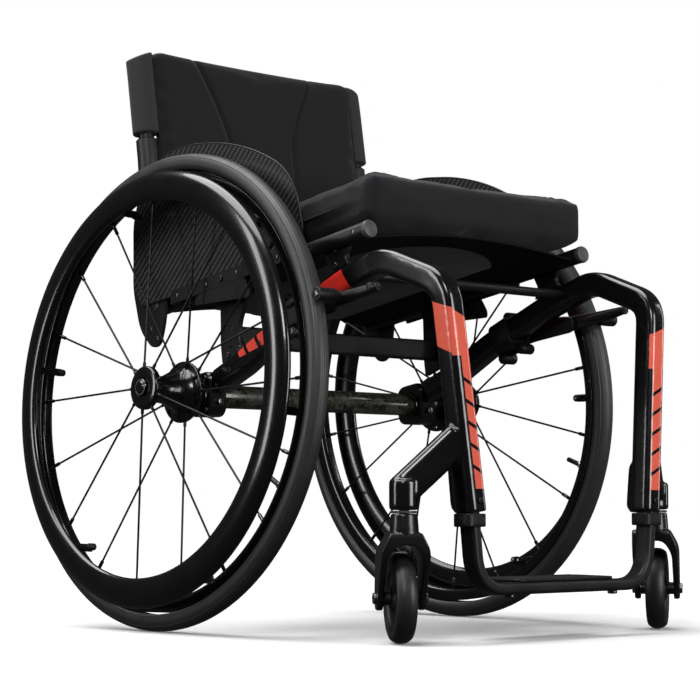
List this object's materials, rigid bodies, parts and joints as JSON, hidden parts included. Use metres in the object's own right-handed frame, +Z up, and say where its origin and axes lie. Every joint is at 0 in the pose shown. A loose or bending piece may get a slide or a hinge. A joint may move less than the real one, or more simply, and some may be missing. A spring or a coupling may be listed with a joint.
{
  "type": "manual wheelchair",
  "caption": "Rigid-frame active wheelchair with cambered spoked rear wheels, swivel casters, folding padded back, seat cushion and U-shaped footrest.",
  "frame": {"origin": "on the floor, at the middle of the footprint's bounding box", "axes": "+Z up; the rider faces -Y; +X is the rider's left"},
  "size_m": [0.6111, 0.7542, 0.7684],
  "materials": {
    "gloss_black": "gloss black paint",
    "satin_black": "satin anodised dark grey",
    "steel": "turned steel",
    "tyre": "slick tyre, fine tread lines",
    "caster_rubber": "smooth hard rubber",
    "carbon": "twill carbon laminate",
    "forged_carbon": "marbled chopped carbon tube",
    "fabric": "black woven upholstery",
    "plastic": "black moulded plastic"
  },
  "bodies": {
    "frame": {"camber_tube": "forged_carbon", "seat_sling": "fabric", "seat_cushion": "fabric", "rear_cross_tube": "satin_black", "front_cross_tube": "satin_black", "left_main_frame": "gloss_black", "left_axle_clamp": "gloss_black", "left_axle": "steel", "left_footrest_collar": "satin_black", "left_seat_rail": "satin_black", "left_rear_seat_bracket": "satin_black", "left_front_seat_bracket": "satin_black", "left_side_guard": "carbon", "left_guard_bracket": "satin_black", "left_brake_bracket": "satin_black", "right_main_frame": "gloss_black", "right_axle_clamp": "gloss_black", "right_axle": "steel", "right_footrest_collar": "satin_black", "right_seat_rail": "satin_black", "right_rear_seat_bracket": "satin_black", "right_front_seat_bracket": "satin_black", "right_side_guard": "carbon", "right_guard_bracket": "satin_black", "right_brake_bracket": "satin_black"},
    "left_wheel": {"left_tyre": "tyre", "left_rim": "gloss_black", "left_spokes": "gloss_black", "left_hub": "gloss_black", "left_handrim": "gloss_black"},
    "left_release": {"left_axle_button": "steel"},
    "left_caster": {"left_caster_fork": "gloss_black", "left_caster_bolt": "steel"},
    "left_roller": {"left_caster_wheel": "plastic", "left_caster_tyre": "caster_rubber"},
    "left_brake": {"left_brake_lever": "satin_black", "left_brake_shoe": "satin_black"},
    "right_wheel": {"right_tyre": "tyre", "right_rim": "gloss_black", "right_spokes": "gloss_black", "right_hub": "gloss_black", "right_handrim": "gloss_black"},
    "right_release": {"right_axle_button": "steel"},
    "right_caster": {"right_caster_fork": "gloss_black", "right_caster_bolt": "steel"},
    "right_roller": {"right_caster_wheel": "plastic", "right_caster_tyre": "caster_rubber"},
    "right_brake": {"right_brake_lever": "satin_black", "right_brake_shoe": "satin_black"},
    "backrest": {"left_back_bracket": "satin_black", "left_back_post": "satin_black", "left_post_pad": "fabric", "right_back_bracket": "satin_black", "right_back_post": "satin_black", "right_post_pad": "fabric", "back_upholstery": "fabric", "back_crossbar": "satin_black"},
    "footrest": {"footrest_tube": "satin_black", "footplate": "satin_black"}
  },
  "joints": [
    {"name": "left_wheel_spin", "type": "hinge", "parent": "frame", "child": "left_wheel", "pos_m": [0.249, 0.0771, 0.2995], "axis": [0.9983, 0, 0.0576], "continuous": true},
    {"name": "left_axle_release", "type": "slide", "parent": "frame", "child": "left_release", "axis": [0.9983, 0, 0.0576], "range_m": [-0.003, 0], "stiffness_N_per_m": 600, "springref_m": 0.001},
    {"name": "left_caster_swivel", "type": "hinge", "parent": "frame", "child": "left_caster", "pos_m": [0.218, -0.3214, 0.14], "axis": [0, 0, 1], "continuous": true},
    {"name": "left_caster_roll", "type": "hinge", "parent": "left_caster", "child": "left_roller", "pos_m": [0.23848, -0.30706, 0.051], "axis": [0.5736, -0.8191, 0], "continuous": true},
    {"name": "left_brake_lever", "type": "hinge", "parent": "frame", "child": "left_brake", "pos_m": [0.219, -0.1849, 0.392], "axis": [1, 0, 0], "range_deg": [0, 19]},
    {"name": "right_wheel_spin", "type": "hinge", "parent": "frame", "child": "right_wheel", "pos_m": [-0.249, 0.0771, 0.2995], "axis": [0.9983, 0, -0.0576], "continuous": true},
    {"name": "right_axle_release", "type": "slide", "parent": "frame", "child": "right_release", "axis": [-0.9983, 0, 0.0576], "range_m": [-0.003, 0], "stiffness_N_per_m": 600, "springref_m": 0.001},
    {"name": "right_caster_swivel", "type": "hinge", "parent": "frame", "child": "right_caster", "pos_m": [-0.218, -0.3214, 0.14], "axis": [0, 0, 1], "continuous": true},
    {"name": "right_caster_roll", "type": "hinge", "parent": "right_caster", "child": "right_roller", "pos_m": [-0.20438, -0.30043, 0.051], "axis": [0.8387, -0.5446, 0], "continuous": true},
    {"name": "right_brake_lever", "type": "hinge", "parent": "frame", "child": "right_brake", "pos_m": [-0.219, -0.1849, 0.392], "axis": [1, 0, 0], "range_deg": [0, 19]},
    {"name": "backrest_fold", "type": "hinge", "parent": "frame", "child": "backrest", "pos_m": [0, 0.1621, 0.4148], "axis": [1, 0, 0], "range_deg": [0, 65], "deforming": ["seat_cushion"]},
    {"name": "footrest_height", "type": "slide", "parent": "frame", "child": "footrest", "axis": [0, 0, 1], "range_m": [-0.015, 0.018]}
  ]
}
